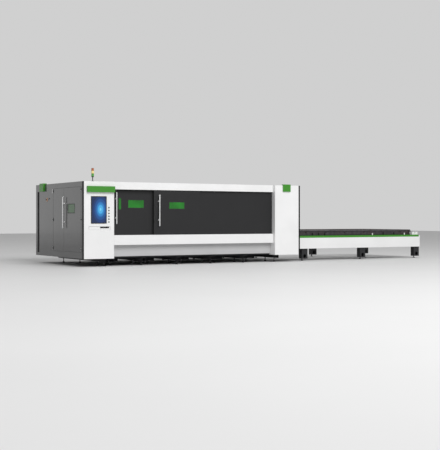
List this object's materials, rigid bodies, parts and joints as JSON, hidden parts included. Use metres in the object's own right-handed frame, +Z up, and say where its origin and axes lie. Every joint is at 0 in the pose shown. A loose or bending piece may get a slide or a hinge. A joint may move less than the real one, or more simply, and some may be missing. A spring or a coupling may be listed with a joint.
{
  "type": "fiber laser cutting machine",
  "caption": "Enclosed sheet-cutting laser machine: console, sliding doors, gantry inside, and an exchange table with two pallets.",
  "frame": {"origin": "on the floor, at the middle of the machine's outline seen from above", "axes": "+X along the machine from the console to the exchange table, +Y from the front to the back, +Z up"},
  "size_m": [12.406, 3.777, 2.678],
  "materials": {
    "white_paint": "satin powder coat",
    "light_grey_paint": "satin powder coat",
    "side_grey_paint": "semi-gloss powder coat",
    "door_grey_paint": "semi-gloss powder coat",
    "green_paint": "satin powder coat",
    "black_paint": "satin",
    "frame_grey_paint": "textured powder coat",
    "pallet_steel": "mill scale",
    "bright_steel": "brushed",
    "black_plastic": "matte",
    "yellow_plastic": "gloss",
    "lamp_green_plastic": "translucent gloss",
    "lamp_red_plastic": "translucent gloss",
    "orange_plastic": "satin",
    "green_glass": "laser-safe tinted",
    "screen_glass": "dark display",
    "seal_rubber": "matte",
    "aluminium_parts": "machined"
  },
  "bodies": {
    "cabin": {"console_housing": "white_paint", "corner_trim": "black_paint", "sign_board": "green_paint", "display_frame": "frame_grey_paint", "display_glass": "screen_glass", "switch_bodies": "black_plastic", "tower_base": "black_plastic", "tower_lamp_green": "lamp_green_plastic", "tower_lamp_yellow": "yellow_plastic", "tower_lamp_red": "lamp_red_plastic", "top_beam": "white_paint", "lower_rail": "white_paint", "skirt": "light_grey_paint", "fixed_front_panel": "door_grey_paint", "right_pillar": "white_paint", "corner_blocks": "green_paint", "side_panels": "side_grey_paint", "side_groove": "black_paint", "side_door_hinges": "side_grey_paint", "main_switch_plate": "orange_plastic", "rear_wall": "light_grey_paint", "roof_panels": "light_grey_paint", "right_wall": "light_grey_paint", "partition": "light_grey_paint", "laser_source": "light_grey_paint", "base_frame": "frame_grey_paint", "bed_beams": "frame_grey_paint", "levelling_feet": "frame_grey_paint", "gantry_rails": "bright_steel", "pallet_rails": "frame_grey_paint", "table_panels": "white_paint", "table_stripes": "green_paint", "table_frame": "frame_grey_paint", "table_end_stops": "white_paint", "table_guides": "black_paint"},
    "drawer": {"keyboard_drawer": "white_paint"},
    "left_door": {"left_sliding_door": "door_grey_paint", "left_door_windows": "green_glass", "left_door_handle": "bright_steel"},
    "right_door": {"right_sliding_door": "door_grey_paint", "right_door_window": "green_glass", "right_door_handle": "bright_steel", "right_door_seal": "seal_rubber"},
    "side_leaf_front": {"side_door_front": "side_grey_paint", "side_door_window": "green_glass", "side_door_handle": "bright_steel"},
    "side_leaf_rear": {"side_door_rear": "side_grey_paint"},
    "switch_knob": {"main_switch_knob": "black_plastic"},
    "lifting_door": {"pallet_door": "black_paint"},
    "gantry": {"gantry_beam": "light_grey_paint"},
    "carriage": {"cross_carriage": "aluminium_parts"},
    "head": {"cutting_head": "aluminium_parts"},
    "pallet_up": {"upper_pallet": "pallet_steel"},
    "pallet_low": {"lower_pallet": "pallet_steel"},
    "button_1_body": {"button_1": "black_plastic"},
    "button_2_body": {"button_2": "black_plastic"},
    "button_3_body": {"button_3": "black_plastic"},
    "button_4_body": {"button_4": "black_plastic"},
    "button_5_body": {"button_5": "black_plastic"},
    "button_6_body": {"button_6": "black_plastic"}
  },
  "joints": [
    {"name": "drawer_slide", "type": "slide", "parent": "cabin", "child": "drawer", "axis": [0, -1, 0], "range_m": [0, 0.22]},
    {"name": "left_door_slide", "type": "slide", "parent": "cabin", "child": "left_door", "axis": [1, 0, 0], "range_m": [0, 1]},
    {"name": "right_door_slide", "type": "slide", "parent": "cabin", "child": "right_door", "axis": [1, 0, 0], "range_m": [0, 1.37]},
    {"name": "side_front_hinge", "type": "hinge", "parent": "cabin", "child": "side_leaf_front", "pos_m": [-6.137, -1.6285, 1.285], "axis": [0, 0, 1], "range_deg": [0, 110]},
    {"name": "side_rear_hinge", "type": "hinge", "parent": "cabin", "child": "side_leaf_rear", "pos_m": [-6.137, 0.4455, 1.285], "axis": [0, 0, -1], "range_deg": [0, 110]},
    {"name": "main_switch_turn", "type": "hinge", "parent": "cabin", "child": "switch_knob", "pos_m": [-6.127, 0.9515, 1.87], "axis": [-1, 0, 0], "range_deg": [0, 90]},
    {"name": "pallet_door_lift", "type": "slide", "parent": "cabin", "child": "lifting_door", "axis": [0, 0, 1], "range_m": [-0.602, 0]},
    {"name": "gantry_travel", "type": "slide", "parent": "cabin", "child": "gantry", "axis": [1, 0, 0], "range_m": [0, 5]},
    {"name": "carriage_travel", "type": "slide", "parent": "gantry", "child": "carriage", "axis": [0, 1, 0], "range_m": [-1, 1]},
    {"name": "head_lift", "type": "slide", "parent": "carriage", "child": "head", "axis": [0, 0, 1], "range_m": [-0.3, 0]},
    {"name": "upper_pallet_slide", "type": "slide", "parent": "cabin", "child": "pallet_up", "axis": [1, 0, 0], "range_m": [-5.3, 0]},
    {"name": "lower_pallet_slide", "type": "slide", "parent": "cabin", "child": "pallet_low", "axis": [1, 0, 0], "range_m": [0, 5.3]},
    {"name": "button_1_press", "type": "slide", "parent": "cabin", "child": "button_1_body", "axis": [0, 1, 0], "range_m": [0, 0.004], "stiffness_N_per_m": 500, "springref_m": -0.002},
    {"name": "button_2_press", "type": "slide", "parent": "cabin", "child": "button_2_body", "axis": [0, 1, 0], "range_m": [0, 0.004], "stiffness_N_per_m": 500, "springref_m": -0.002},
    {"name": "button_3_press", "type": "slide", "parent": "cabin", "child": "button_3_body", "axis": [0, 1, 0], "range_m": [0, 0.004], "stiffness_N_per_m": 500, "springref_m": -0.002},
    {"name": "button_4_press", "type": "slide", "parent": "cabin", "child": "button_4_body", "axis": [0, 1, 0], "range_m": [0, 0.004], "stiffness_N_per_m": 500, "springref_m": -0.002},
    {"name": "button_5_press", "type": "slide", "parent": "cabin", "child": "button_5_body", "axis": [0, 1, 0], "range_m": [0, 0.004], "stiffness_N_per_m": 500, "springref_m": -0.002},
    {"name": "button_6_press", "type": "slide", "parent": "cabin", "child": "button_6_body", "axis": [0, 1, 0], "range_m": [0, 0.004], "stiffness_N_per_m": 500, "springref_m": -0.002}
  ],
  "couplings": [
    {"joint": "lower_pallet_slide", "follows": "upper_pallet_slide", "ratio": -1}
  ]
}
